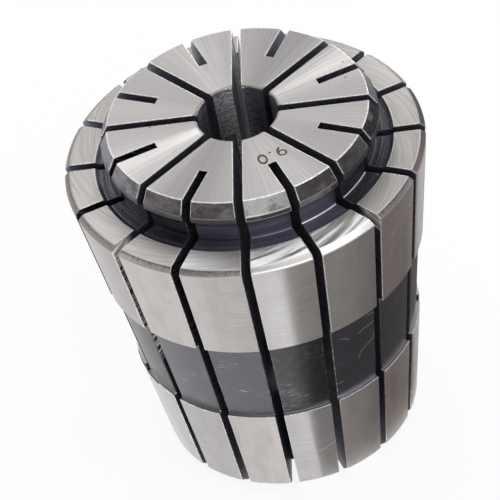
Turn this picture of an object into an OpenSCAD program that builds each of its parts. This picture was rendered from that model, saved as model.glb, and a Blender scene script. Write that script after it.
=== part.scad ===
// Spring collet for an 8 degree taper socket, turned from one piece of spring steel
// and slit from both ends. It stands on its rear face, with the nose up.

/* [Overall] */
// Length from the rear face to the nose face
overall_l = 46; // [42:0.5:54]
// Largest diameter, where the taper starts behind the shoulder
body_d = 41; // [38:0.5:46]
// Angle between the taper's side and the axis
taper_angle = 8; // [6:0.5:10]
// Chamfer round the rear end of the taper
rear_chamfer = 1.5; // [0.5:0.1:2.5]

/* [Nose] */
// Diameter of the narrow land round the nose
nose_d = 31.4; // [29:0.1:33]
// Width of the cone between the land and the flat nose face
nose_cone_w = 0.95; // [0.5:0.05:1.5]
// Angle between the nose's cone and the axis
nose_angle = 30; // [25:1:40]
// Length of the land between the cone and the groove
nose_land_l = 0.7; // [0.2:0.1:1]

/* [Groove and shoulder] */
// Depth of the groove's core below the land
groove_depth = 0.85; // [0.4:0.05:1.3]
// Radius of the hollow that runs from the groove's core up to the land
hollow_r = 1.8; // [1.4:0.1:2.4]
// Width of the groove's flat floor
groove_floor_w = 1.65; // [1:0.05:2.2]
// Distance from the nose face to the shoulder
shoulder_z = 5.15; // [4.8:0.05:6.5]
// Depth of the groove's floor below the shoulder
floor_sink = 0.3; // [0.1:0.05:0.6]
// Width of the ramp from the groove's floor up to the shoulder
ramp_w = 0.45; // [0.2:0.05:0.8]
// Width of the chamfer round the shoulder's outer edge
edge_w = 0.6; // [0.3:0.05:1]
// Height of the chamfer round the shoulder's outer edge
edge_h = 0.55; // [0.3:0.05:1]

/* [Taper bands] */
// Length of the ground band behind the shoulder
front_band_l = 13.4; // [9:0.1:15]
// Length of the ground band at the rear, in front of its chamfer
rear_band_l = 13.1; // [9:0.1:15]
// Depth of the unground relief between the two bands
relief_depth = 0.45; // [0.2:0.05:0.8]
// Small chamfer at the bands' edges beside the relief
band_chamfer = 0.1; // [0.05:0.05:0.15]

/* [Bore] */
// Diameter of the bore that holds the shank
bore_d = 9; // [6:0.1:12]
// Chamfer of the bore at the nose face
bore_chamfer_front = 0.25; // [0.1:0.05:0.6]
// Chamfer of the bore at the rear face
bore_chamfer_rear = 0.5; // [0.1:0.05:0.8]

/* [Slots] */
// Number of slots sawn from each end
slots_per_end = 8; // [4:1:8]
// Width of a slot
slot_w = 1; // [0.6:0.1:1.3]
// Diameter of the saw, whose rim leaves a curved web at the far end of each slot
saw_d = 63; // [56:1:80]
// Diameter at which the webs meet the end faces
web_d = 19.8; // [17:0.1:22]

/* [Hidden] */
$fn = 180;

body_r = body_d / 2;
nose_r = nose_d / 2;
nose_face_r = nose_r - nose_cone_w;
groove_r = nose_r - groove_depth;
floor_r = groove_r + groove_floor_w;
shoulder_r = floor_r + ramp_w;
bore_r = bore_d / 2;
web_r = web_d / 2;
saw_r = saw_d / 2;

// heights above the rear face
shoulder_top = overall_l - shoulder_z;
taper_top = shoulder_top - edge_h;
front_band_end = taper_top - front_band_l;
rear_band_end = rear_chamfer + rear_band_l;
groove_floor = shoulder_top - floor_sink;

// the land ends where the hollow's arc crosses it, and the arc meets the core in a smooth line
land_top = overall_l - nose_cone_w / tan(nose_angle);
land_end = land_top - nose_land_l;
hollow_x = groove_r + hollow_r;
hollow_z = land_end - sqrt(pow(hollow_r, 2) - pow(hollow_x - nose_r, 2));

// the saw's rim touches the axis, so its centre is one saw radius out
saw_inset = sqrt(pow(saw_r, 2) - pow(saw_r - web_r, 2));
slot_pitch = 360 / slots_per_end;
// slots are cut this far past the solid, so no skin is left
over = 1;
slot_reach = body_r + over;

// radius of the taper at a height above the rear face
function taper_r(z) = body_r - (taper_top - z) * tan(taper_angle);

// outline of the turned blank, from the axis out, with the nose still square to its core
module rough_outline() {
    polygon([
        [0, 0],
        [taper_r(rear_chamfer) - rear_chamfer, 0],
        [taper_r(rear_chamfer), rear_chamfer],
        [taper_r(rear_band_end - band_chamfer), rear_band_end - band_chamfer],
        [taper_r(rear_band_end) - band_chamfer, rear_band_end],
        [taper_r(rear_band_end) - relief_depth, rear_band_end],
        [taper_r(front_band_end) - relief_depth, front_band_end],
        [taper_r(front_band_end) - band_chamfer, front_band_end],
        [taper_r(front_band_end + band_chamfer), front_band_end + band_chamfer],
        [body_r, taper_top],
        [body_r - edge_w, shoulder_top],
        [shoulder_r, shoulder_top],
        [floor_r, groove_floor],
        [groove_r, groove_floor],
        [groove_r, hollow_z],
        [nose_r, hollow_z],
        [nose_r, land_top],
        [nose_face_r, overall_l],
        [0, overall_l]
    ]);
}

// outline of the blank with the hollow turned in behind the nose
module blank_outline() {
    difference() {
        rough_outline();
        intersection() {
            translate([hollow_x, hollow_z])
                circle(r = hollow_r);
            translate([groove_r, hollow_z])
                square([hollow_r, hollow_r]);
        }
    }
}

// bore with a chamfer at each mouth
module bore_cut() {
    translate([0, 0, -over])
        cylinder(h = overall_l + 2 * over, r = bore_r);
    translate([0, 0, -over])
        cylinder(h = over + bore_chamfer_rear, r1 = bore_r + bore_chamfer_rear + over, r2 = bore_r);
    translate([0, 0, overall_l - bore_chamfer_front])
        cylinder(h = over + bore_chamfer_front, r1 = bore_r, r2 = bore_r + bore_chamfer_front + over);
}

// one slot sawn from the nose end: full depth down to the saw's centre, then the saw's rim
module saw_cut() {
    translate([0, -slot_w / 2, saw_inset])
        cube([slot_reach, slot_w, overall_l + over - saw_inset]);
    intersection() {
        translate([saw_r, slot_w / 2, saw_inset])
            rotate([90, 0, 0])
                cylinder(h = slot_w, r = saw_r);
        translate([0, -slot_w / 2, -over])
            cube([slot_reach, slot_w, overall_l]);
    }
}

// ring of slots sawn from the nose end, with the first one at the given angle
module slot_ring(first_angle) {
    for (i = [0 : slots_per_end - 1])
        rotate([0, 0, first_angle + i * slot_pitch])
            saw_cut();
}

// the same ring, sawn from the rear end
module rear_slot_ring(first_angle) {
    translate([0, 0, overall_l])
        mirror([0, 0, 1])
            slot_ring(first_angle);
}

// the whole collet: turned, bored and slit alternately from both ends
module collet() {
    color([0.74, 0.73, 0.72])
        difference() {
            rotate_extrude()
                blank_outline();
            bore_cut();
            slot_ring(0);
            rear_slot_ring(slot_pitch / 2);
        }
}

collet();
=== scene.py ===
"""Spring collet: one piece of spring steel, turned, slit from both ends, hardened and ground."""
import math
from types import SimpleNamespace

import bmesh
import bpy
from mathutils import Matrix, Vector


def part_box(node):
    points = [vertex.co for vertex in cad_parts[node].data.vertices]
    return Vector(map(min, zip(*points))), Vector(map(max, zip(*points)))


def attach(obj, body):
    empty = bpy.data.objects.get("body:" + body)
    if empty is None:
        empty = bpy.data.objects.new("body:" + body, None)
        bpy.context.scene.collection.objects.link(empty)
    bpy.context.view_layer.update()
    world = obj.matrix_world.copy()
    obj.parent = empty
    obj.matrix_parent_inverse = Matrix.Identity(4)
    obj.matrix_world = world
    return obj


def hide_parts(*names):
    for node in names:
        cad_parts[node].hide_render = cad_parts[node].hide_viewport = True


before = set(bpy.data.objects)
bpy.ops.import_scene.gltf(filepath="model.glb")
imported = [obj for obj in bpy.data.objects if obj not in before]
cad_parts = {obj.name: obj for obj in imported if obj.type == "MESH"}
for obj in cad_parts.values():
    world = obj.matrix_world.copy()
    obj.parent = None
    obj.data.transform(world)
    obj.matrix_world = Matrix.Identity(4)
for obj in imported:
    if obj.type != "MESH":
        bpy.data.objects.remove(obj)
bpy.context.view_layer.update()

# Sizes of the collet in millimetres. The length and the largest radius come from the frame.
MM = 0.001
node_low, node_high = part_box("collet")
SLOT_PAIRS = 8
SLOT_W = 1.0
LENGTH = (node_high.z - node_low.z) / MM
BODY_R = math.hypot(node_high.x / MM, SLOT_W / 2)
TAPER = math.radians(8)
REAR_CHAMFER = 1.5
REAR_BAND = 13.1
FRONT_BAND = 13.4
RELIEF = 0.45
EDGE_W = 0.6
EDGE_H = 0.55
SHOULDER_Z = LENGTH - 5.15
NOSE_R = 15.7
NOSE_CONE_W = 0.95
NOSE_CONE = math.radians(30)
NOSE_LAND = 0.7
GROOVE_DEPTH = 0.85
HOLLOW_R = 1.8
FLOOR_W = 1.65
FLOOR_SINK = 0.3
RAMP_W = 0.45
BORE_R = 4.5
BORE_CHAMFER_FRONT = 0.25
BORE_CHAMFER_REAR = 0.5
SAW_R = 31.5
WEB_R = 9.9

# Heights and radii that follow from them.
TAPER_TOP = SHOULDER_Z - EDGE_H
REAR_BAND_END = REAR_CHAMFER + REAR_BAND
FRONT_BAND_END = TAPER_TOP - FRONT_BAND
NOSE_FACE_R = NOSE_R - NOSE_CONE_W
LAND_TOP = LENGTH - NOSE_CONE_W / math.tan(NOSE_CONE)
LAND_END = LAND_TOP - NOSE_LAND
GROOVE_R = NOSE_R - GROOVE_DEPTH
FLOOR_R = GROOVE_R + FLOOR_W
SHOULDER_R = FLOOR_R + RAMP_W
FLOOR_Z = SHOULDER_Z - FLOOR_SINK
HOLLOW_X = GROOVE_R + HOLLOW_R
HOLLOW_Z = LAND_END - math.sqrt(HOLLOW_R ** 2 - (HOLLOW_X - NOSE_R) ** 2)
LAND_MIDDLE = (LAND_TOP + LAND_END) / 2
RELIEF_MIDDLE = (FRONT_BAND_END + REAR_BAND_END) / 2
RELIEF_HALF = (FRONT_BAND_END - REAR_BAND_END) / 2
SAW_INSET = math.sqrt(SAW_R ** 2 - (SAW_R - WEB_R) ** 2)
WEB_Z = SAW_INSET - math.sqrt(SAW_R ** 2 - (SAW_R - BORE_R) ** 2)

# How the mesh is laid out. A sector between two slots has this many columns of faces. The strip beside a slot
# gives the broken edge room. Vertices closer than MERGE become one. Corners over BREAK_FROM are broken, and
# those over SHARP_FROM aren't shaded smooth.
HALF_PITCH = math.pi / SLOT_PAIRS
COLUMNS = 14
EDGE_STRIP = 0.16
BROKEN_EDGE = 0.1
ARC_STEPS = 10
MERGE = 0.002
BREAK_FROM = math.radians(20)
SHARP_FROM = math.radians(14)


def taper_r(z):
    """Radius of the taper at a height above the rear face."""
    return BODY_R - (TAPER_TOP - z) * math.tan(TAPER)


def hollow():
    """The arc from the land's lower edge down to the groove's core."""
    start = math.atan2(LAND_END - HOLLOW_Z, NOSE_R - HOLLOW_X)
    turns = [start + (math.pi - start) * i / ARC_STEPS for i in range(ARC_STEPS + 1)]
    return [(HOLLOW_X + HOLLOW_R * math.cos(t), HOLLOW_Z + HOLLOW_R * math.sin(t)) for t in turns]


def zones():
    """The outline, from the bore's rear mouth outwards, up and back down the bore: the finish and the points
    of each stretch."""
    rear_r = taper_r(REAR_CHAMFER) - REAR_CHAMFER
    rear_end, front_end = taper_r(REAR_BAND_END), taper_r(FRONT_BAND_END)
    return [
        ("ground_face", [(BORE_R + BORE_CHAMFER_REAR, 0), (WEB_R, 0), (rear_r, 0)]),
        ("turned_chamfer", [(rear_r, 0), (taper_r(REAR_CHAMFER), REAR_CHAMFER)]),
        ("ground_taper", [(taper_r(REAR_CHAMFER), REAR_CHAMFER), (rear_end, REAR_BAND_END)]),
        ("black_relief", [(rear_end, REAR_BAND_END), (rear_end - RELIEF, REAR_BAND_END),
                          (front_end - RELIEF, FRONT_BAND_END), (front_end, FRONT_BAND_END)]),
        ("ground_taper", [(front_end, FRONT_BAND_END), (BODY_R, TAPER_TOP)]),
        ("turned_chamfer", [(BODY_R, TAPER_TOP), (BODY_R - EDGE_W, SHOULDER_Z)]),
        ("ground_shoulder", [(BODY_R - EDGE_W, SHOULDER_Z), (SHOULDER_R, SHOULDER_Z)]),
        ("black_groove", [(SHOULDER_R, SHOULDER_Z), (FLOOR_R, FLOOR_Z), (GROOVE_R, FLOOR_Z),
                          *reversed(hollow())]),
        ("turned_nose", [(NOSE_R, LAND_END), (NOSE_R, LAND_TOP), (NOSE_FACE_R, LENGTH)]),
        ("ground_face", [(NOSE_FACE_R, LENGTH), (WEB_R, LENGTH), (BORE_R + BORE_CHAMFER_FRONT, LENGTH)]),
        ("bore_wall", [(BORE_R + BORE_CHAMFER_FRONT, LENGTH), (BORE_R, LENGTH - BORE_CHAMFER_FRONT),
                       (BORE_R, LENGTH - WEB_Z), (BORE_R, WEB_Z), (BORE_R, BORE_CHAMFER_REAR),
                       (BORE_R + BORE_CHAMFER_REAR, 0)]),
    ]


def finish_slot(finish):
    """The mesh's material slot for one of FINISHES."""
    return list(FINISHES).index(finish)


def turn_zone(bm, finish, points):
    """Turns one stretch of the outline through half a slot pitch."""
    verts = [bm.verts.new(Vector((r, 0, z)) * MM) for r, z in points]
    edges = [bm.edges.new(pair) for pair in zip(verts, verts[1:])]
    before = set(bm.faces)
    bmesh.ops.spin(bm, geom=verts + edges, cent=(0, 0, 0), axis=(0, 0, 1), angle=HALF_PITCH, steps=COLUMNS)
    for face in set(bm.faces) - before:
        face.material_index = finish_slot(finish)


def fit_between_slots(bm):
    """Moves the columns so that the outer two lie on the slots' walls, with a narrow strip beside each."""
    walls = ([], [])
    for vert in bm.verts:
        radius = math.hypot(vert.co.x, vert.co.y) / MM
        column = round(math.atan2(vert.co.y, vert.co.x) / HALF_PITCH * COLUMNS)
        wall_turn = math.asin(SLOT_W / 2 / radius)
        strip_turn = math.asin((SLOT_W / 2 + EDGE_STRIP) / radius)
        if column == 0:
            turn = wall_turn
        elif column == COLUMNS:
            turn = HALF_PITCH - wall_turn
        else:
            turn = strip_turn + (HALF_PITCH - 2 * strip_turn) * (column - 1) / (COLUMNS - 2)
        if column in (0, COLUMNS):
            walls[column == COLUMNS].append(vert)
        vert.co.x = radius * MM * math.cos(turn)
        vert.co.y = radius * MM * math.sin(turn)
    return walls


def saw_wall(bm, verts, plane_turn, side, from_nose):
    """Fills a slot's wall, parts the web from it along the saw's rim, and carries the web on to the middle
    of the slot."""
    inside = set(verts)
    rim = [edge for edge in bm.edges if edge.is_boundary and inside.issuperset(edge.verts)]
    wall = bmesh.ops.contextual_create(bm, geom=rim)["faces"][0]
    across = Matrix.Rotation(plane_turn, 3, "Z") @ Vector((0, side * SLOT_W / 2 * MM, 0))
    along = Matrix.Rotation(plane_turn, 3, "Z") @ Vector((1, 0, 0))

    def place(x, z):
        return along * x * MM + across + Vector((0, 0, z if from_nose else LENGTH - z)) * MM

    def nearest(x, z):
        return min(wall.verts, key=lambda vert: (vert.co - place(x, z)).length)

    reach = [BORE_R + (WEB_R - BORE_R) * i / ARC_STEPS for i in range(1, ARC_STEPS)]
    arc = [place(x, SAW_INSET - math.sqrt(SAW_R ** 2 - (SAW_R - x) ** 2)) for x in reach]
    other, _ = bmesh.utils.face_split(wall, nearest(BORE_R, WEB_Z), nearest(WEB_R, 0), coords=arc)
    for face in (wall, other):
        face.material_index = finish_slot("sawn_wall")
    web = min((wall, other), key=lambda face: face.calc_area())
    midpoints = {(edge.verts[0].co + edge.verts[1].co).freeze(): face.material_index
                 for edge in web.edges for face in edge.link_faces if face is not web}
    grown = bmesh.ops.extrude_face_region(bm, geom=[web])["geom"]
    cap = next(item for item in grown if isinstance(item, bmesh.types.BMFace))
    for edge in list(cap.edges):
        index = midpoints[(edge.verts[0].co + edge.verts[1].co).freeze()]
        for face in edge.link_faces:
            if face is not cap:
                face.material_index = index
    for vert in cap.verts:
        radius = math.hypot(vert.co.x, vert.co.y)
        vert.co -= across
        if radius < (BORE_R + BORE_CHAMFER_REAR + BROKEN_EDGE) * MM:
            vert.co.xy = vert.co.xy.normalized() * radius
    bmesh.ops.delete(bm, geom=[cap, web], context="FACES_ONLY")


def break_edges(bm):
    """Breaks every sharp outer edge, as a deburring stone does."""
    sharp = [edge for edge in bm.edges
             if edge.is_manifold and edge.calc_face_angle_signed() > BREAK_FROM]
    made = bmesh.ops.bevel(bm, geom=sharp, offset=BROKEN_EDGE * MM, offset_type="OFFSET", affect="EDGES",
                           segments=2, profile=0.5, material=-1, clamp_overlap=False)
    for face in made["faces"]:
        face.material_index = finish_slot("broken_edge")


def collet_mesh():
    """One sector between two slots, mirrored and copied round the axis."""
    bm = bmesh.new()
    for finish, points in zones():
        turn_zone(bm, finish, points)
    bmesh.ops.remove_doubles(bm, verts=bm.verts, dist=MERGE * MM)
    front_wall, rear_wall = fit_between_slots(bm)
    saw_wall(bm, front_wall, 0, 1, True)
    saw_wall(bm, rear_wall, HALF_PITCH, -1, False)
    bmesh.ops.mirror(bm, geom=[*bm.verts, *bm.edges, *bm.faces], matrix=Matrix.Identity(4), merge_dist=0,
                     axis="Y")
    copies = SLOT_PAIRS - 1
    bmesh.ops.spin(bm, geom=[*bm.verts, *bm.edges, *bm.faces], cent=(0, 0, 0), axis=(0, 0, 1),
                   angle=2 * HALF_PITCH * copies, steps=copies, use_duplicate=True)
    bmesh.ops.remove_doubles(bm, verts=bm.verts, dist=MERGE * MM)
    bmesh.ops.recalc_face_normals(bm, faces=bm.faces)
    break_edges(bm)
    for edge in bm.edges:
        edge.smooth = not (edge.is_manifold and edge.calc_face_angle() > SHARP_FROM)
    for face in bm.faces:
        face.smooth = True
    mesh = bpy.data.meshes.new("collet_steel")
    bm.to_mesh(mesh)
    bm.free()
    return mesh


def linear(hex_colour):
    """An sRGB hex colour as linear red, green, blue and alpha."""
    parts = [int(hex_colour[i:i + 2], 16) / 255 for i in (1, 3, 5)]
    return [p / 12.92 if p <= 0.04045 else ((p + 0.055) / 1.055) ** 2.4 for p in parts] + [1.0]


def add(tree, kind, inputs=None, **settings):
    """Adds a node with its settings, and links or sets its inputs."""
    made = tree.nodes.new(kind)
    for name, value in settings.items():
        setattr(made, name, value)
    for key, value in (inputs or {}).items():
        if isinstance(value, bpy.types.NodeSocket):
            tree.links.new(value, made.inputs[key])
        else:
            made.inputs[key].default_value = value
    return made


def steel(name, roughness, anisotropy):
    """Bare metal whose fine lines run round the axis, and the places on it that a pattern needs: all in
    millimetres, but the turn round the axis in radians."""
    material = bpy.data.materials.new(name)
    material.use_nodes = True
    tree = material.node_tree
    shader = tree.nodes["Principled BSDF"]
    metres = add(tree, "ShaderNodeTexCoord").outputs["Object"]
    spot = add(tree, "ShaderNodeVectorMath", {0: metres, "Scale": 1 / MM}, operation="SCALE").outputs[0]
    apart = add(tree, "ShaderNodeSeparateXYZ", {0: spot})
    turn = {0: apart.outputs[1], 1: apart.outputs[0]}
    turn = add(tree, "ShaderNodeMath", turn, operation="ARCTAN2").outputs[0]
    flat = add(tree, "ShaderNodeVectorMath", {0: spot, 1: (1, 1, 0)}, operation="MULTIPLY").outputs[0]
    radius = add(tree, "ShaderNodeVectorMath", {0: flat}, operation="LENGTH").outputs["Value"]
    arc = add(tree, "ShaderNodeMath", {0: turn, 1: BODY_R}, operation="MULTIPLY").outputs[0]
    rolled = add(tree, "ShaderNodeCombineXYZ", {0: arc, 1: radius, 2: apart.outputs[2]}).outputs[0]
    lines = add(tree, "ShaderNodeVectorMath", {0: (0, 0, 1), 1: metres}, operation="CROSS_PRODUCT").outputs[0]
    tree.links.new(lines, shader.inputs["Tangent"])
    shader.inputs["Metallic"].default_value = 1
    shader.inputs["Roughness"].default_value = roughness
    shader.inputs["Anisotropic"].default_value = anisotropy
    shader.inputs["Anisotropic Rotation"].default_value = 0.25
    place = SimpleNamespace(spot=spot, turn=turn, radius=radius, height=apart.outputs[2], rolled=rolled)
    return material, tree, place


# A grain of this size in millimetres doesn't change along its direction anywhere on the collet.
WHOLE = 1000


def grain(tree, vector, size, detail=3):
    """Noise drawn out to grains of the given size: round the axis, away from it, and along it. The size is
    in the vector's own units, which are millimetres where nothing else is said."""
    drawn = {0: vector, 1: [1 / s for s in size]}
    drawn = add(tree, "ShaderNodeVectorMath", drawn, operation="MULTIPLY").outputs[0]
    noise = add(tree, "ShaderNodeTexNoise", {"Vector": drawn, "Scale": 1, "Detail": detail, "Roughness": 0.6})
    return noise.outputs["Fac"]


def tint(tree, colour, laid, part, start, end, most=1.0):
    """Lays a second colour over the first: none of it where the part is at start, and most where it is at
    end. A hex colour may stand for either."""
    limits = {"Value": part, "From Min": start, "From Max": end, "To Max": most}
    share = add(tree, "ShaderNodeMapRange", limits).outputs[0]
    first, second = [linear(c) if isinstance(c, str) else c for c in (colour, laid)]
    return add(tree, "ShaderNodeMix", {"Factor": share, 6: first, 7: second}, data_type="RGBA").outputs[2]


def by_turn(tree, place, colours, blend="CONSTANT"):
    """A colour for each stretch round the axis. The stretches are given by where they start, in degrees."""
    limits = {"Value": place.turn, "From Min": -math.pi, "From Max": math.pi}
    part = add(tree, "ShaderNodeMapRange", limits).outputs[0]
    ramp = add(tree, "ShaderNodeValToRGB", {"Fac": part})
    ramp.color_ramp.interpolation = blend
    stops = ramp.color_ramp.elements
    stops.remove(stops[1])
    for start, colour in colours.items():
        stop = stops.new((start + 180) / 360) if start > -180 else stops[0]
        stop.color = linear(colour)
    return ramp.outputs[0]


def stretch(tree, place, middle, width):
    """A mask: whole on one stretch round the axis, given by its middle and width in degrees, and nothing
    elsewhere."""
    start, end = middle - width / 2, middle + width / 2
    return by_turn(tree, place, {-180: "#000000", start: "#ffffff", end: "#000000"})


def faded(tree, mask, part, start, end):
    """A mask that is nothing where the part is at start, and whole where it is at end."""
    return tint(tree, "#000000", mask, part, start, end)


def off_height(tree, place, middle):
    """How far a place is above or below a height."""
    away = add(tree, "ShaderNodeMath", {0: place.height, 1: middle}, operation="SUBTRACT").outputs[0]
    return add(tree, "ShaderNodeMath", {0: away}, operation="ABSOLUTE").outputs[0]


def specks(tree, place, spacing, size, share):
    """Scattered specks: their spacing and size in millimetres, and the share of the places that holds one."""
    cells = add(tree, "ShaderNodeTexVoronoi", {"Vector": place.spot, "Scale": 1 / spacing})
    rim, core = size / spacing, size / spacing * 0.5
    limits = {"Value": cells.outputs["Distance"], "From Min": rim, "From Max": core}
    near = add(tree, "ShaderNodeMapRange", limits).outputs[0]
    picked = add(tree, "ShaderNodeSeparateColor", {0: cells.outputs["Color"]}).outputs[0]
    held = add(tree, "ShaderNodeMath", {0: picked, 1: share}, operation="LESS_THAN").outputs[0]
    return add(tree, "ShaderNodeMath", {0: near, 1: held}, operation="MULTIPLY").outputs[0]


def finished(material, colour, relief=None, depth=0.0, roughness=None):
    """Links a material's colour and, where it has them, its roughness and its fine relief, whose depth is in
    millimetres."""
    tree = material.node_tree
    shader = tree.nodes["Principled BSDF"]
    tree.links.new(colour, shader.inputs["Base Color"])
    if roughness is not None:
        tree.links.new(roughness, shader.inputs["Roughness"])
    if relief is not None:
        bump = add(tree, "ShaderNodeBump", {"Height": relief, "Distance": depth * MM, "Strength": 1})
        tree.links.new(bump.outputs[0], shader.inputs["Normal"])
    return material


# Fine scratches on the outside: chains of (degrees round the axis, height in millimetres).
SCRATCHES = [
    [(-34, 37.8), (-37.6, 36.2)],
    [(-36.1, 34.1), (-38.2, 34.0), (-39.4, 33.3)],
    [(-39.0, 33.0), (-40.0, 32.5)],
    [(-43.6, 25.3), (-50.0, 26.0)],
    [(-47.8, 24.4), (-53.6, 23.9)],
    [(-46.8, 22.8), (-48.3, 21.4), (-53.0, 20.9), (-54.8, 19.6)],
    [(-61.8, 24.6), (-58.8, 24.0)],
    [(-69.6, 7.7), (-72.6, 7.1), (-77.1, 6.6)],
    [(-63.4, 17.0), (-67.6, 17.4)],
]


# The outside's radius where the scratches lie, how far they are bent and by how many waves to the millimetre,
# and how far from its middle a scratch ends and is whole.
SCRATCH_R = 18.5
SCRATCH_BEND = 0.9
SCRATCH_WAVES = 0.7
SCRATCH_EDGE = 0.09
SCRATCH_CORE = 0.03


def scratches(tree, place):
    """A thin pale line along each of SCRATCHES, bent a little."""
    arc = add(tree, "ShaderNodeMath", {0: place.turn, 1: SCRATCH_R}, operation="MULTIPLY").outputs[0]
    sheet = add(tree, "ShaderNodeCombineXYZ", {0: arc, 2: place.height}).outputs[0]
    wave = {"Vector": place.spot, "Scale": SCRATCH_WAVES, "Detail": 1}
    wave = add(tree, "ShaderNodeTexNoise", wave).outputs["Color"]
    wave = add(tree, "ShaderNodeVectorMath", {0: wave, 1: (0.5, 0, 0.5)}, operation="SUBTRACT").outputs[0]
    bent = {0: wave, 1: (SCRATCH_BEND, 0, SCRATCH_BEND), 2: sheet}
    sheet = add(tree, "ShaderNodeVectorMath", bent, operation="MULTIPLY_ADD").outputs[0]
    lines = None
    for chain in SCRATCHES:
        ends = [Vector((math.radians(turn) * SCRATCH_R, 0, height)) for turn, height in chain]
        for start, end in zip(ends, ends[1:]):
            along = end - start
            off = add(tree, "ShaderNodeVectorMath", {0: sheet, 1: start}, operation="SUBTRACT").outputs[0]
            step = {0: off, 1: along / along.length_squared}
            part = add(tree, "ShaderNodeVectorMath", step, operation="DOT_PRODUCT").outputs["Value"]
            part = add(tree, "ShaderNodeClamp", {0: part}).outputs[0]
            foot = add(tree, "ShaderNodeVectorMath", {0: along, "Scale": part}, operation="SCALE").outputs[0]
            away = add(tree, "ShaderNodeVectorMath", {0: off, 1: foot}, operation="DISTANCE").outputs["Value"]
            limits = {"Value": away, "From Min": SCRATCH_EDGE, "From Max": SCRATCH_CORE}
            line = add(tree, "ShaderNodeMapRange", limits).outputs[0]
            if lines:
                line = add(tree, "ShaderNodeMath", {0: lines, 1: line}, operation="MAXIMUM").outputs[0]
            lines = line
    return lines


def figure_ring(tree, place, turn, centre, half, stroke):
    """A thin oval line that belongs to a figure etched at that angle, whose top points outwards. Its centre
    is across and out from the axis, and its half width, half height and stroke are in millimetres too."""
    upright = {"Vector": place.spot, "Angle": math.radians(90 - turn)}
    faced = add(tree, "ShaderNodeVectorRotate", upright, rotation_type="Z_AXIS").outputs[0]
    shift = {0: faced, 1: (1 / half[0], 1 / half[1], 0), 2: (-centre[0] / half[0], -centre[1] / half[1], 0)}
    oval = add(tree, "ShaderNodeVectorMath", shift, operation="MULTIPLY_ADD").outputs[0]
    size = add(tree, "ShaderNodeVectorMath", {0: oval}, operation="LENGTH").outputs["Value"]
    off = add(tree, "ShaderNodeMath", {0: size, 1: 1, 2: stroke / min(half)}, operation="COMPARE")
    return off.outputs[0], faced


# Where the size mark's figures stand, in degrees round the axis, and how far out the nine's eye lies.
NINE_TURN = -56.8
POINT_TURN = -64.2
ZERO_TURN = -71.6
NINE_EYE = 9.1


def size_mark(tree, place):
    """The bore's size as plain figures, "9.0", etched with a thin stroke on the nose face. The nine's tail is
    the right lower part of a larger oval."""
    head, _ = figure_ring(tree, place, NINE_TURN, (0, NINE_EYE), (0.42, 0.42), 0.11)
    tail, faced = figure_ring(tree, place, NINE_TURN, (-0.3, NINE_EYE), (0.72, 0.95), 0.12)
    apart = add(tree, "ShaderNodeSeparateXYZ", {0: faced})
    right = add(tree, "ShaderNodeMath", {0: apart.outputs[0], 1: -0.2}, operation="GREATER_THAN").outputs[0]
    below = add(tree, "ShaderNodeMath", {0: apart.outputs[1], 1: NINE_EYE}, operation="LESS_THAN").outputs[0]
    for half in (right, below):
        tail = add(tree, "ShaderNodeMath", {0: tail, 1: half}, operation="MULTIPLY").outputs[0]
    zero, _ = figure_ring(tree, place, ZERO_TURN, (0, 8.83), (0.44, 0.69), 0.11)
    point, _ = figure_ring(tree, place, POINT_TURN, (0, 8.2), (0.07, 0.07), 0.07)
    mark = head
    for stroke in (tail, zero, point):
        mark = add(tree, "ShaderNodeMath", {0: mark, 1: stroke}, operation="MAXIMUM").outputs[0]
    face = {0: place.height, 1: LENGTH - 0.5}
    face = add(tree, "ShaderNodeMath", face, operation="GREATER_THAN").outputs[0]
    return add(tree, "ShaderNodeMath", {0: mark, 1: face}, operation="MULTIPLY").outputs[0]


# A sector's width, and where the slots lie that differ from the rest, in degrees round the axis.
SECTOR = 180 / SLOT_PAIRS
SHADED_SLOT = -157.5
ROUGH_SLOT_LEFT = -135
ROUGH_SLOT_RIGHT = -45
STREAKED_SLOT = 90
# The two sectors where the shoulder and its chamfer carry painted highlights: their middle and their joint
# width.
HIGHLIT_STRETCH = (-67.5, 2 * SECTOR)


def ground_steel_face():
    """Hardened spring steel, ground flat with its lines round the axis: each lamp is drawn out into a pale
    fan. The pale streaks in it that run outwards are painted highlight, laid on the grain's uneven tone. The
    nose carries the bore's size."""
    material, tree, place = steel("ground_steel_face", 0.36, 1.0)
    # The wheel's grit leaves lines some 0.05 mm wide, round the axis. The streaks run outwards: painted
    # highlight streaks on the grain's uneven tone, 0.3 mm wide, so that they show.
    streaks = grain(tree, place.rolled, (0.3, 16, 40), 2)
    # The tones by sector are painted shade: darkest from 22.5 to 45 degrees, where a lamp's fan falls
    # brightest.
    face_shade = {-180: "#bab7b6", -135: "#b8b5b4", 22.5: "#aaa7a6", 45: "#b6b3b2", 135: "#bab7b6"}
    colour = tint(tree, by_turn(tree, place, face_shade), "#cecbca", streaks, 0.4, 0.66, 0.8)
    colour = tint(tree, colour, "#7d756e", specks(tree, place, 1.7, 0.17, 0.3), 0, 1)
    colour = tint(tree, colour, "#5d514a", size_mark(tree, place), 0, 1)
    limits = {"Value": streaks, "From Min": 0.35, "From Max": 0.65, "To Min": 0.28, "To Max": 0.42}
    return finished(material, colour, roughness=add(tree, "ShaderNodeMapRange", limits).outputs[0])


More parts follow.
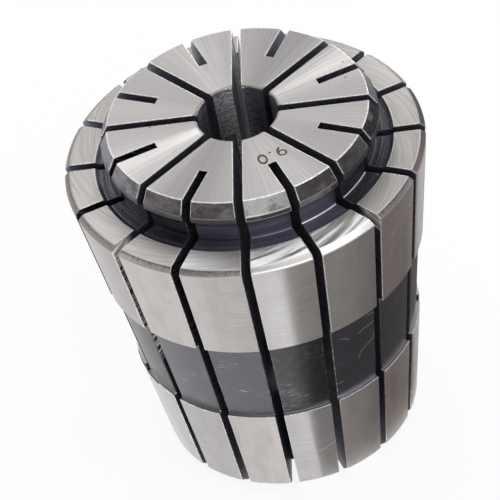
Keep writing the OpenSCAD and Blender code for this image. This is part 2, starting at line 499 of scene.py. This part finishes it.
def ground_steel_shoulder():
    """The shoulder, ground with the wheel's edge, which leaves long slanting arcs: faint ones, but for two
    sectors where the arcs are painted as broad pale and dark bands: painted highlight."""
    material, tree, place = steel("ground_steel_shoulder", 0.45, 0.6)
    # The arcs slant by 0.22 mm for each millimetre round the axis. Their lengths are in radians.
    skew = add(tree, "ShaderNodeVectorMath", {0: place.rolled, 1: (0.22, 1, 0)}, operation="DOT_PRODUCT")
    slanted = add(tree, "ShaderNodeCombineXYZ", {0: place.turn, 1: skew.outputs["Value"]}).outputs[0]
    # The real lines are some 0.05 mm wide. The faint arcs are 0.2 mm wide, so that they show.
    fine = grain(tree, slanted, (0.35, 0.2, 1), 3)
    arcs = grain(tree, slanted, (0.6, 0.8, 1), 4)
    # The tones by sector, white on some and dark on others, are painted light and shade.
    shaded = {-180: "#b8b4b3", -135: "#c3bfbd", -112.6: "#c3bfbd", -112.5: "#ffffff", -90.1: "#85807f",
              -90: "#ffffff", -67.6: "#ffffff", -67.5: "#bfbcbb", -45.1: "#bfbcbb", -45: "#b0acaa",
              0: "#b8b4b2"}
    plain = by_turn(tree, place, shaded, "LINEAR")
    faint = tint(tree, plain, "#d5d2d0", fine, 0.5, 0.64, 0.4)
    faint = tint(tree, faint, "#8b8784", fine, 0.48, 0.36, 0.35)
    # On two sectors the arcs are painted highlight: broad white and dark bands.
    painted_bands = tint(tree, plain, "#ffffff", arcs, 0.52, 0.6)
    painted_bands = tint(tree, painted_bands, "#6b6866", arcs, 0.5, 0.36)
    highlit = stretch(tree, place, *HIGHLIT_STRETCH)
    return finished(material, tint(tree, faint, painted_bands, highlit, 0, 1))


def ground_steel_taper():
    """The same steel, ground between centres: fine lines round the taper, some deeper, which break a
    highlight's edge into dashes."""
    material, tree, place = steel("ground_steel_taper", 0.36, 1.0)
    # The real lines are some 0.05 mm wide. They are drawn 0.13 and 0.2 mm wide, so that they show.
    lines = grain(tree, place.rolled, (4, WHOLE, 0.13))
    dashes = grain(tree, place.rolled, (1.6, WHOLE, 0.2))
    cloud = grain(tree, place.rolled, (2.5, WHOLE, 7))
    # The tones by sector on both bands are painted light and shade: darker on the right of the front sector,
    # and lighter on the rear band from -45 to -22.5 degrees against the card's dark reflection.
    front = {-180: "#b8b4b4", -135.1: "#b8b4b4", -135: "#d8d2cf", -112.5: "#e2dcd8", -90.1: "#b5b0ad",
             -90: "#cbc8c8", -80: "#cbc8c8", -67.6: "#b4b1b1", -67.5: "#c2bfbf", -45.1: "#c5c2c2",
             -45: "#d6cbc8", -22.6: "#d6cbc8", -22.5: "#cbc8c8"}
    rear = {-180: "#cbc8c8", -112.5: "#dad4d1", -90: "#c0bebe", -67.5: "#dbd5d3", -45: "#f5eae6",
            -22.5: "#cbc8c8"}
    front, rear = by_turn(tree, place, front, "LINEAR"), by_turn(tree, place, rear)
    colour = tint(tree, rear, front, place.height, RELIEF_MIDDLE - 1, RELIEF_MIDDLE + 1)
    colour = tint(tree, colour, "#e6e3e3", lines, 0.4, 0.68, 0.5)
    colour = tint(tree, colour, "#b8b1af", cloud, 0.45, 0.7, 0.35)
    colour = tint(tree, colour, "#efece9", specks(tree, place, 1.9, 0.13, 0.3), 0, 1)
    colour = tint(tree, colour, "#ffffff", scratches(tree, place), 0, 1)
    limits = {"Value": dashes, "From Min": 0.3, "From Max": 0.7, "To Min": 0.31, "To Max": 0.41}
    return finished(material, colour, dashes, 0.013, add(tree, "ShaderNodeMapRange", limits).outputs[0])


def turned_steel_chamfer():
    """The chamfers, turned before hardening and never ground: a coarser, speckled grey, darker along the
    shoulder's edge. On two sectors it is painted smooth and bright, most of all along the lower edge: painted
    highlight."""
    material, tree, place = steel("turned_steel_chamfer", 0.45, 0.7)
    # The real speckle is finer than 0.1 mm. It is drawn 0.16 mm wide, so that it shows.
    speckle = grain(tree, place.rolled, (0.3, 0.16, 0.16), 4)
    # The tones by sector are painted light and shade: white from -67.5 to -45 degrees, dark from -22.5 to
    # 22.5.
    lit_and_shaded = {-180: "#989492", -135: "#c3bfbd", -112.5: "#a6a2a1", -90: "#bcbab9", -67.5: "#ffffff",
            -45: "#9b9899", -22.5: "#6e6666", 22.5: "#8f8a89", 45: "#b1adab"}
    plain = tint(tree, by_turn(tree, place, lit_and_shaded), "#7d7977", speckle, 0.5, 0.36, 0.25)
    coarse = tint(tree, plain, "#7d7977", speckle, 0.5, 0.36, 0.6)
    # The dark rim's lower border wanders with the speckle.
    ragged = {0: speckle, 1: 1.6, 2: place.height}
    ragged = add(tree, "ShaderNodeMath", ragged, operation="MULTIPLY_ADD").outputs[0]
    coarse = tint(tree, coarse, "#5c5856", ragged, SHOULDER_Z + 0.56, SHOULDER_Z + 0.66, 0.8)
    # Painted highlight: white along the lower edge, with finer speckle and no dark rim.
    lit_edge = tint(tree, plain, "#ffffff", place.height, TAPER_TOP + 0.2, TAPER_TOP + 0.1)
    sector_light = stretch(tree, place, *HIGHLIT_STRETCH)
    colour = tint(tree, coarse, lit_edge, sector_light, 0, 1)
    # Where the highlight is painted, hardly any of the speckle's relief is left.
    rest = add(tree, "ShaderNodeMath", {0: 1.05, 1: sector_light}, operation="SUBTRACT").outputs[0]
    height = add(tree, "ShaderNodeMath", {0: speckle, 1: rest}, operation="MULTIPLY").outputs[0]
    return finished(material, colour, height, 0.012)


def tempered_steel_nose():
    """The nose's cone and land: turned, then hardened, with a thin grey-brown film in blotches. The tones by
    sector, pale on some and dark on others, are painted reflection."""
    material, tree, place = steel("tempered_steel_nose", 0.5, 0.5)
    blotch = grain(tree, place.rolled, (2.2, 1.4, 0.9), 4)
    # The film's real grain is finer than 0.1 mm. It is drawn 0.12 mm wide, so that it shows.
    speckle = grain(tree, place.rolled, (0.22, 0.12, 0.12), 4)
    # The tones by sector are painted reflection: pale where the cone and land face bright parts of the room,
    # dark where they face dark ones.
    cone = {-180: "#959197", -135: "#7d797b", -112.5: "#656164", -90: "#b6b5b6", -67.5: "#5a575c",
            -45: "#67646c", -22.5: "#242225", 0: "#84848c"}
    land = {-180: "#6e6863", -112.5: "#57524e", -90: "#484440", -67.5: "#9b9895", -51: "#55524f",
            -22.5: "#3f3c3d", 0: "#625e5d"}
    cone, land = by_turn(tree, place, cone), by_turn(tree, place, land)
    colour = tint(tree, cone, land, place.height, LAND_TOP + 0.05, LAND_TOP - 0.05)
    colour = tint(tree, colour, "#46443f", blotch, 0.5, 0.64, 0.55)
    colour = tint(tree, colour, "#9a9898", blotch, 0.46, 0.34, 0.4)
    colour = tint(tree, colour, "#48484c", speckle, 0.5, 0.36, 0.4)
    colour = tint(tree, colour, "#b7b5b4", speckle, 0.58, 0.74, 0.4)
    return finished(material, colour, speckle, 0.02)


def blacked_steel_groove():
    """The groove, turned and blacked: bluish black with the turning tool's fine lighter lines, and a bright
    line in the corner of its core where the tool turned the black off. The tones by sector of both are
    painted light and shade."""
    material, tree, place = steel("blacked_steel_groove", 0.42, 0.4)
    # The tool's real lines are some 0.08 mm apart. They are drawn 0.14 mm apart, so that they show.
    lines = grain(tree, place.rolled, (16, 0.14, 0.14))
    fleck = grain(tree, place.rolled, (0.5, 0.2, 0.2), 4)
    # The tones by sector are painted light and shade.
    black = {-180: "#43434d", -112.5: "#6a6a79", -90: "#686876", -67.5: "#737381", -45: "#45454f",
             -22.5: "#42424a", 22.5: "#5a5a66"}
    colour = tint(tree, by_turn(tree, place, black), "#96969d", lines, 0.5, 0.74)
    colour = tint(tree, colour, "#9a9aa2", fleck, 0.58, 0.75, 0.6)
    # The corner line's tones by sector are painted light and shade, brightest from -67.5 to -22.5 degrees.
    bright = {-180: "#6d6d79", -112.5: "#5d5d68", -90: "#a9a9b4", -67.5: "#f2f2f5", -22.5: "#85858f"}
    out = add(tree, "ShaderNodeMath", {0: place.radius, 1: GROOVE_R}, operation="SUBTRACT").outputs[0]
    up = add(tree, "ShaderNodeMath", {0: place.height, 1: FLOOR_Z}, operation="SUBTRACT").outputs[0]
    corner = add(tree, "ShaderNodeMath", {0: out, 1: up}, operation="MAXIMUM").outputs[0]
    colour = tint(tree, colour, by_turn(tree, place, bright), corner, 0.14, 0.06)
    return finished(material, colour, lines, 0.02)


def blacked_steel_relief():
    """The relief between the ground bands, blacked, oiled and left matt: dark grey with a few rubbed
    scratches, pale where it is seen at a flat angle. Its tones by sector are painted light and shade."""
    material, tree, place = steel("blacked_steel_relief", 0.38, 0.0)
    shader = tree.nodes["Principled BSDF"]
    shader.inputs["Coat Weight"].default_value = 0.5
    shader.inputs["Coat Roughness"].default_value = 0.35
    cloud = grain(tree, place.rolled, (1.2, WHOLE, 1.2))
    # A real rub is some 0.05 mm wide. It is drawn 0.12 mm wide, so that it shows.
    rubs = grain(tree, place.rolled, (2.2, WHOLE, 0.12))
    worn = grain(tree, place.rolled, (7, WHOLE, 4), 1)
    # The tones by sector are painted light and shade, lightest from -22.5 to 0 degrees.
    black = {-180: "#2f2e33", -135: "#615f66", -90: "#464549", -67.5: "#706f7c", -22.5: "#8d8b92",
             0: "#646368"}
    colour = tint(tree, by_turn(tree, place, black), "#6c6c70", cloud, 0.45, 0.65, 0.25)
    rubbed = tint(tree, colour, "#c4c4c8", rubs, 0.58, 0.68)
    colour = tint(tree, colour, rubbed, worn, 0.52, 0.64)
    colour = tint(tree, colour, "#b9b9bb", specks(tree, place, 1.3, 0.1, 0.35), 0, 1)
    colour = tint(tree, colour, "#e5e3e2", scratches(tree, place), 0, 1)
    # The step down from the rear band is painted pale: painted light, which also lightens the step's
    # reflection at the relief's foot.
    colour = tint(tree, colour, "#cfcdd0", place.height, REAR_BAND_END + 0.04, REAR_BAND_END + 0.01)
    return finished(material, colour, cloud, 0.01)


def reamed_bore():
    """The bore, reamed and oiled: dark and smooth, and painted darker deeper in, but for one side that the
    reamer tore, whose rough grain glitters where light falls in."""
    material, tree, place = steel("reamed_bore", 0.4, 0.3)
    rough = grain(tree, place.rolled, (2.4, 0.4, 0.2), 4)
    torn = by_turn(tree, place, {-180: "#8c8c9b", 90: "#d2d2d6", 132: "#9a9aa8"})
    bright = by_turn(tree, place, {-180: "#a0a0ad", 90: "#ffffff", 132: "#a8a8b4"})
    colour = tint(tree, torn, bright, rough, 0.46, 0.58)
    # Deeper in, the bore is painted darker: painted shade.
    colour = tint(tree, colour, "#55555f", place.height, LENGTH - 11, LENGTH - 14)
    # The mouth's chamfer is painted dark, with paler grains: painted shade over its reflection of the room.
    mouth = tint(tree, "#6b6b71", "#c9c7c8", rough, 0.46, 0.58)
    colour = tint(tree, colour, mouth, place.radius, BORE_R + 0.02, BORE_R + 0.05)
    colour = tint(tree, colour, "#4a4a55", rough, 0.46, 0.34, 0.6)
    return finished(material, colour, rough, 0.08)


# The heights over which the two rough slots turn rough and painted pale: the left one from the relief's
# middle up, and the right one only just below the shoulder. Then the depths below the taper at which the pale
# wall ends and is whole.
BARE_LEFT = (20.5, 22.5)
BARE_RIGHT = (SHOULDER_Z - 2.4, SHOULDER_Z - 2)
BARE_DEPTH = (3.2, 2.2)
# The radii and heights over which the streaked slot turns bare.
STREAKED_R = (5, 12)
STREAKED_Z = (36, 42)


def sawn_slot_wall():
    """The slots' walls, left as the slitting saw cut them: steep arcs of the saw's radius, rough and bluish
    black. In two slots the saw ran rougher, and the outer part is painted pale, paler towards the taper's
    top: painted light. One slot at the back is bare in streaks near the nose."""
    material, tree, place = steel("sawn_slot_wall", 0.45, 0.0)
    inset = add(tree, "ShaderNodeMath", {0: SAW_R, 1: place.radius}, operation="SUBTRACT").outputs[0]
    square = add(tree, "ShaderNodeMath", {0: inset, 1: inset}, operation="MULTIPLY").outputs[0]
    under = add(tree, "ShaderNodeMath", {0: SAW_R ** 2, 1: square}, operation="SUBTRACT").outputs[0]
    drop = add(tree, "ShaderNodeMath", {0: under}, operation="SQRT").outputs[0]
    # The arcs fall outwards in the slots sawn from the nose, and rise outwards in those sawn from the rear.
    end = add(tree, "ShaderNodeMath", {0: place.turn, 1: SLOT_PAIRS}, operation="MULTIPLY").outputs[0]
    for step in ("COSINE", "SIGN"):
        end = add(tree, "ShaderNodeMath", {0: end}, operation=step).outputs[0]
    arc = add(tree, "ShaderNodeMath", {0: drop, 1: end, 2: place.height}, operation="MULTIPLY_ADD").outputs[0]
    sweep = add(tree, "ShaderNodeCombineXYZ", {0: place.turn, 1: place.radius, 2: arc}).outputs[0]
    # The saw's teeth leave marks some 0.1 mm apart. They are drawn 0.22 mm apart, so that they show. Their
    # size round the axis is in radians.
    marks = grain(tree, sweep, (0.3, 12, 0.22), 4)
    # The tones by slot are painted light and shade: lighter in the slots at 67.5 and 112.5 degrees, darker in
    # the one at -112.5 and darkest in the one at -157.5.
    black = {-180: "#787889", -168.75: "#34343d", -146.25: "#787889", -123.75: "#5c5c69", -101.25: "#787889",
             56.25: "#9090a0", 78.75: "#787889", 101.25: "#9090a0", 123.75: "#787889"}
    colour = tint(tree, by_turn(tree, place, black), "#9696a3", marks, 0.5, 0.66)
    # The rough walls are painted pale towards the taper's top, with whiter marks there and near the relief's
    # top: painted light.
    torn = tint(tree, "#444245", "#b5b2b1", place.height, TAPER_TOP - 2.8, TAPER_TOP)
    lit_ticks = tint(tree, "#c4c1c1", "#ffffff", place.height, TAPER_TOP - 4, TAPER_TOP - 0.5)
    lit_ticks = tint(tree, lit_ticks, "#ffffff", place.height, FRONT_BAND_END + 1, FRONT_BAND_END)
    torn = tint(tree, torn, lit_ticks, marks, 0.47, 0.55)
    # The radius less what the taper adds with height, so that it is the same all along the taper's side.
    lean = {0: place.height, 1: -math.tan(TAPER), 2: place.radius}
    lean = add(tree, "ShaderNodeMath", lean, operation="MULTIPLY_ADD").outputs[0]
    outer = BODY_R - TAPER_TOP * math.tan(TAPER)
    left = faded(tree, stretch(tree, place, ROUGH_SLOT_LEFT, SECTOR), place.height, *BARE_LEFT)
    right = faded(tree, stretch(tree, place, ROUGH_SLOT_RIGHT, SECTOR), place.height, *BARE_RIGHT)
    rougher = add(tree, "ShaderNodeVectorMath", {0: left, 1: right}, operation="ADD").outputs[0]
    rougher = faded(tree, rougher, lean, *[outer - depth for depth in BARE_DEPTH])
    colour = tint(tree, colour, torn, rougher, 0, 1)
    streaks = grain(tree, place.rolled, (WHOLE, 1.3, 25))
    streaked = tint(tree, "#5d5656", "#ffffff", streaks, 0.42, 0.56)
    streaked = tint(tree, colour, streaked, place.radius, *STREAKED_R)
    streaked = tint(tree, colour, streaked, place.height, *STREAKED_Z)
    colour = tint(tree, colour, streaked, stretch(tree, place, STREAKED_SLOT, SECTOR), 0, 1)
    # Close to the rear face the walls are an even grey.
    colour = tint(tree, colour, "#5b5a60", place.height, 4, 2)
    colour = tint(tree, colour, "#4c4b56", marks, 0.44, 0.32, 0.7)
    roughness = add(tree, "ShaderNodeMapRange", {"Value": rougher, "To Min": 0.45, "To Max": 0.95}).outputs[0]
    # The rougher walls' marks are five times as deep.
    depth = add(tree, "ShaderNodeMath", {0: rougher, 1: 4, 2: 1}, operation="MULTIPLY_ADD").outputs[0]
    relief = add(tree, "ShaderNodeMath", {0: marks, 1: depth}, operation="MULTIPLY").outputs[0]
    return finished(material, colour, relief, 0.05, roughness)


def stoned_edge():
    """The broken edges: bare bright steel, a little ragged where the saw left its burr, and dull again beside
    the blacked relief, in the blacked groove and inside the bore. Along one slot they are painted dark:
    painted shade. Their tones by sector on the chamfer, the relief and the land are painted light and shade."""
    material, tree, place = steel("stoned_edge", 0.48, 0.0)
    burr = grain(tree, place.spot, (0.25, 0.25, 0.4), 4)
    colour = tint(tree, "#cbc8c6", "#f8f5f3", burr, 0.4, 0.6)
    # The edges of the shoulder's chamfer, whose tones by sector are painted light and shade.
    sector_light = {-180: "#a8a4a1", -135: "#bdb9b7", -90: "#d8d5d3", -67.5: "#ffffff", -45: "#c0bcba", 0: "#a8a4a1"}
    rim = BODY_R - EDGE_W
    sector_light = tint(tree, colour, by_turn(tree, place, sector_light), place.radius, rim - 0.2, rim - 0.1)
    colour = tint(tree, colour, sector_light, place.height, TAPER_TOP - 0.16, TAPER_TOP - 0.08)
    # The slots' edges in the groove.
    groove = faded(tree, "#ffffff", place.height, FLOOR_Z - 0.2, FLOOR_Z - 0.1)
    groove = faded(tree, groove, place.height, LAND_END, LAND_END - 0.1)
    groove = faded(tree, groove, place.radius, SHOULDER_R + 0.05, SHOULDER_R - 0.05)
    colour = tint(tree, colour, "#6a6a76", groove, 0, 1)
    # The relief's edges and steps, dull, with paler grains from -112.5 to -45 degrees: painted light.
    ragged = by_turn(tree, place, {-180: "#7d7b7d", -112.6: "#e9e6e4", -45: "#8f8d8f"})
    dull = tint(tree, "#6f6e71", ragged, burr, 0.54, 0.6)
    away = off_height(tree, place, RELIEF_MIDDLE)
    colour = tint(tree, colour, dull, away, RELIEF_HALF - 0.05, RELIEF_HALF - 0.2)
    # The edges of one slot are painted dark, from the taper's top down to the rear band: painted shade.
    black = stretch(tree, place, SHADED_SLOT, SECTOR)
    black = faded(tree, black, place.height, TAPER_TOP, TAPER_TOP - 0.5)
    black = faded(tree, black, place.height, REAR_BAND_END - 0.5, REAR_BAND_END)
    colour = tint(tree, colour, "#34343a", black, 0, 1)
    # The nose's land and its edges, whose tones by sector are painted reflection.
    land_light = by_turn(tree, place, {-180: "#7a7674", -90: "#dedbd9", -67.5: "#a9a5a3", -45: "#6b6766"})
    colour = tint(tree, colour, land_light, off_height(tree, place, LAND_MIDDLE), 0.55, 0.45)
    # The bore's edges, first those of its mouths and then those inside.
    colour = tint(tree, colour, "#a39e9b", place.radius, BORE_R + 0.6, BORE_R + 0.5)
    mouth = by_turn(tree, place, {-180: "#6d6a69", 78.75: "#d8d5d3", 90: "#a39e9b", 101.25: "#6d6a69"})
    colour = tint(tree, colour, mouth, place.radius, BORE_R + 0.17, BORE_R + 0.1)
    return finished(material, colour, burr, 0.02)


# The finishes, in the order of the mesh's material slots, and how each is made.
FINISHES = {
    "ground_face": ground_steel_face,
    "ground_shoulder": ground_steel_shoulder,
    "ground_taper": ground_steel_taper,
    "turned_chamfer": turned_steel_chamfer,
    "turned_nose": tempered_steel_nose,
    "black_groove": blacked_steel_groove,
    "black_relief": blacked_steel_relief,
    "bore_wall": reamed_bore,
    "sawn_wall": sawn_slot_wall,
    "broken_edge": stoned_edge,
}


def make_collet():
    """The dressed collet, which stands for the CAD solid."""
    piece = bpy.data.objects.new("collet_steel", collet_mesh())
    bpy.context.scene.collection.objects.link(piece)
    for make_finish in FINISHES.values():
        piece.data.materials.append(make_finish())
    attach(piece, "root")
    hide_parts("collet")


# The camera looks as the photograph's does: from the front, well above, and rolled to the right. Azimuth 0 is
# in front. The sizes are in millimetres, and so is the range of distances that it sees.
CAMERA_AZIMUTH = math.radians(7.184)
CAMERA_ELEVATION = math.radians(42.296)
CAMERA_ROLL = math.radians(11.542)
CAMERA_DISTANCE = 371.17
CAMERA_AIM = Vector((-1.603, -0.202, 25.397))
CAMERA_LENS = 231.6
SENSOR_W = 36
SEEN_FROM = 10
SEEN_TO = 20000


def make_camera():
    """A long lens on the collet's middle."""
    camera = bpy.data.objects.new("camera", bpy.data.cameras.new("camera"))
    bpy.context.scene.collection.objects.link(camera)
    turn = (Matrix.Rotation(CAMERA_AZIMUTH, 4, "Z")
            @ Matrix.Rotation(math.pi / 2 - CAMERA_ELEVATION, 4, "X")
            @ Matrix.Rotation(-CAMERA_ROLL, 4, "Z"))
    aim = Matrix.Translation(CAMERA_AIM * MM)
    camera.matrix_world = aim @ turn @ Matrix.Translation((0, 0, CAMERA_DISTANCE * MM))
    camera.data.lens = CAMERA_LENS
    camera.data.sensor_width = SENSOR_W
    camera.data.clip_start = SEEN_FROM * MM
    camera.data.clip_end = SEEN_TO * MM
    bpy.context.scene.camera = camera


def stage_piece(name, bm, colour):
    """A matt piece of the studio, which isn't part of the collet."""
    mesh = bpy.data.meshes.new(name)
    bm.to_mesh(mesh)
    bm.free()
    piece = bpy.data.objects.new(name, mesh)
    bpy.context.scene.collection.objects.link(piece)
    material = bpy.data.materials.new(name)
    material.use_nodes = True
    shader = material.node_tree.nodes["Principled BSDF"]
    shader.inputs["Base Color"].default_value = linear(colour)
    shader.inputs["Roughness"].default_value = 1
    shader.inputs["Specular IOR Level"].default_value = 0
    mesh.materials.append(material)
    return piece, material.node_tree


# How much of the floor's white is its own, as the camera and the steel see it, where the rest takes the
# collet's shadow. Then how far the floor reaches each way, in metres.
FLOOR_GLOW = 0.88
FLOOR_HALF = 2.0


def make_floor():
    """A plain white floor."""
    bm = bmesh.new()
    bmesh.ops.create_grid(bm, x_segments=1, y_segments=1, size=FLOOR_HALF)
    _, tree = stage_piece("floor", bm, "#f4f4f4")
    path = add(tree, "ShaderNodeLightPath")
    seen = path.outputs["Is Camera Ray"]
    for ray in ("Is Glossy Ray", "Is Transmission Ray"):
        seen = add(tree, "ShaderNodeMath", {0: seen, 1: path.outputs[ray]}, operation="MAXIMUM").outputs[0]
    part = add(tree, "ShaderNodeMath", {0: seen, 1: FLOOR_GLOW}, operation="MULTIPLY").outputs[0]
    white = add(tree, "ShaderNodeEmission", {"Color": (1, 1, 1, 1), "Strength": 1}).outputs[0]
    mixed = add(tree, "ShaderNodeMixShader", {0: part, 1: tree.nodes["Principled BSDF"].outputs[0], 2: white})
    tree.links.new(mixed.outputs[0], tree.nodes["Material Output"].inputs["Surface"])


# The cards stand on the floor close to the collet and lean away from it: radius and height in metres.
CARD_FOOT = (0.0165, 0.0001)
CARD_TOP = (0.11, 0.1)
CARD_STEPS = 16


def make_card(name, start, span, colour):
    """A card on the right, which only shows as the shaded side of the steel. Where it starts round the axis
    and how far it spans are in degrees."""
    bm = bmesh.new()
    first = [bm.verts.new((radius, 0, height)) for radius, height in (CARD_FOOT, CARD_TOP)]
    edge = bm.edges.new(first)
    bmesh.ops.spin(bm, geom=first + [edge], cent=(0, 0, 0), axis=(0, 0, 1), angle=math.radians(span),
                   steps=CARD_STEPS)
    bmesh.ops.rotate(bm, verts=bm.verts, cent=(0, 0, 0), matrix=Matrix.Rotation(math.radians(start), 3, "Z"))
    card, _ = stage_piece(name, bm, colour)
    card.visible_camera = False
    card.visible_diffuse = False
    card.visible_shadow = False


# The lamps: azimuth and elevation in degrees, width and height in metres, and power in watts. Azimuth 0 is in
# front, and 90 is on the right.
LAMPS = {
    "lamp_high": (170, 68, 0.5, 0.5, 0.6),
    "lamp_back": (-160, 36, 0.3, 0.3, 0.25),
    "lamp_left": (-125, 45, 0.4, 0.4, 0.95),
    "lamp_front": (15, 18, 0.65, 0.3, 1.15),
    "lamp_right_front": (42, 50, 0.7, 0.3, 2.2),
    "lamp_right": (122, 14, 0.3, 0.2, 1.8),
    "lamp_fan": (166, 14, 0.08, 0.2, 1.15),
}

# The room is darkest in front on the left, a little above the floor: the way there in degrees, the cosines of
# the angles from it between which it grows dark, and the light's strength outside and inside.
DARK_AZIMUTH = -48
DARK_ELEVATION = 20
DARK_REACH = (0.76, 0.97)
ROOM_STRENGTH = (0.76, 0.2)


def add_lamp(name, azimuth, elevation, width, height, power):
    """A soft lamp a metre away that faces the collet's middle."""
    lamp = bpy.data.objects.new(name, bpy.data.lights.new(name, "AREA"))
    bpy.context.scene.collection.objects.link(lamp)
    turn = (Matrix.Rotation(math.radians(azimuth), 4, "Z")
            @ Matrix.Rotation(math.radians(90 - elevation), 4, "X"))
    middle = Matrix.Translation((0, 0, LENGTH / 2 * MM))
    lamp.matrix_world = middle @ turn @ Matrix.Translation((0, 0, 1))
    lamp.data.shape = "RECTANGLE"
    lamp.data.size = width
    lamp.data.size_y = height
    lamp.data.energy = power


def make_light():
    """A pale room with its dark place, and soft lamps round the collet."""
    world = bpy.data.worlds.new("room")
    bpy.context.scene.world = world
    world.use_nodes = True
    tree = world.node_tree
    way = add(tree, "ShaderNodeTexCoord").outputs["Generated"]
    turn = (Matrix.Rotation(math.radians(DARK_AZIMUTH), 3, "Z")
            @ Matrix.Rotation(math.radians(-DARK_ELEVATION), 3, "X"))
    dark = {0: way, 1: turn @ Vector((0, -1, 0))}
    toward = add(tree, "ShaderNodeVectorMath", dark, operation="DOT_PRODUCT").outputs["Value"]
    limits = {"Value": toward, "From Min": DARK_REACH[0], "From Max": DARK_REACH[1],
              "To Min": ROOM_STRENGTH[0], "To Max": ROOM_STRENGTH[1]}
    strength = add(tree, "ShaderNodeMapRange", limits, interpolation_type="SMOOTHSTEP").outputs[0]
    tree.links.new(strength, tree.nodes["Background"].inputs["Strength"])
    tree.nodes["Background"].inputs["Color"].default_value = linear("#ffffff")
    for name, lamp in LAMPS.items():
        add_lamp(name, *lamp)


view = bpy.context.scene.view_settings
view.view_transform = "Standard"
make_camera()
make_floor()
make_card("card_edge", -77, 3, "#bebbb8")
make_card("card", -74, 126, "#8f8b87")
make_light()
make_collet()
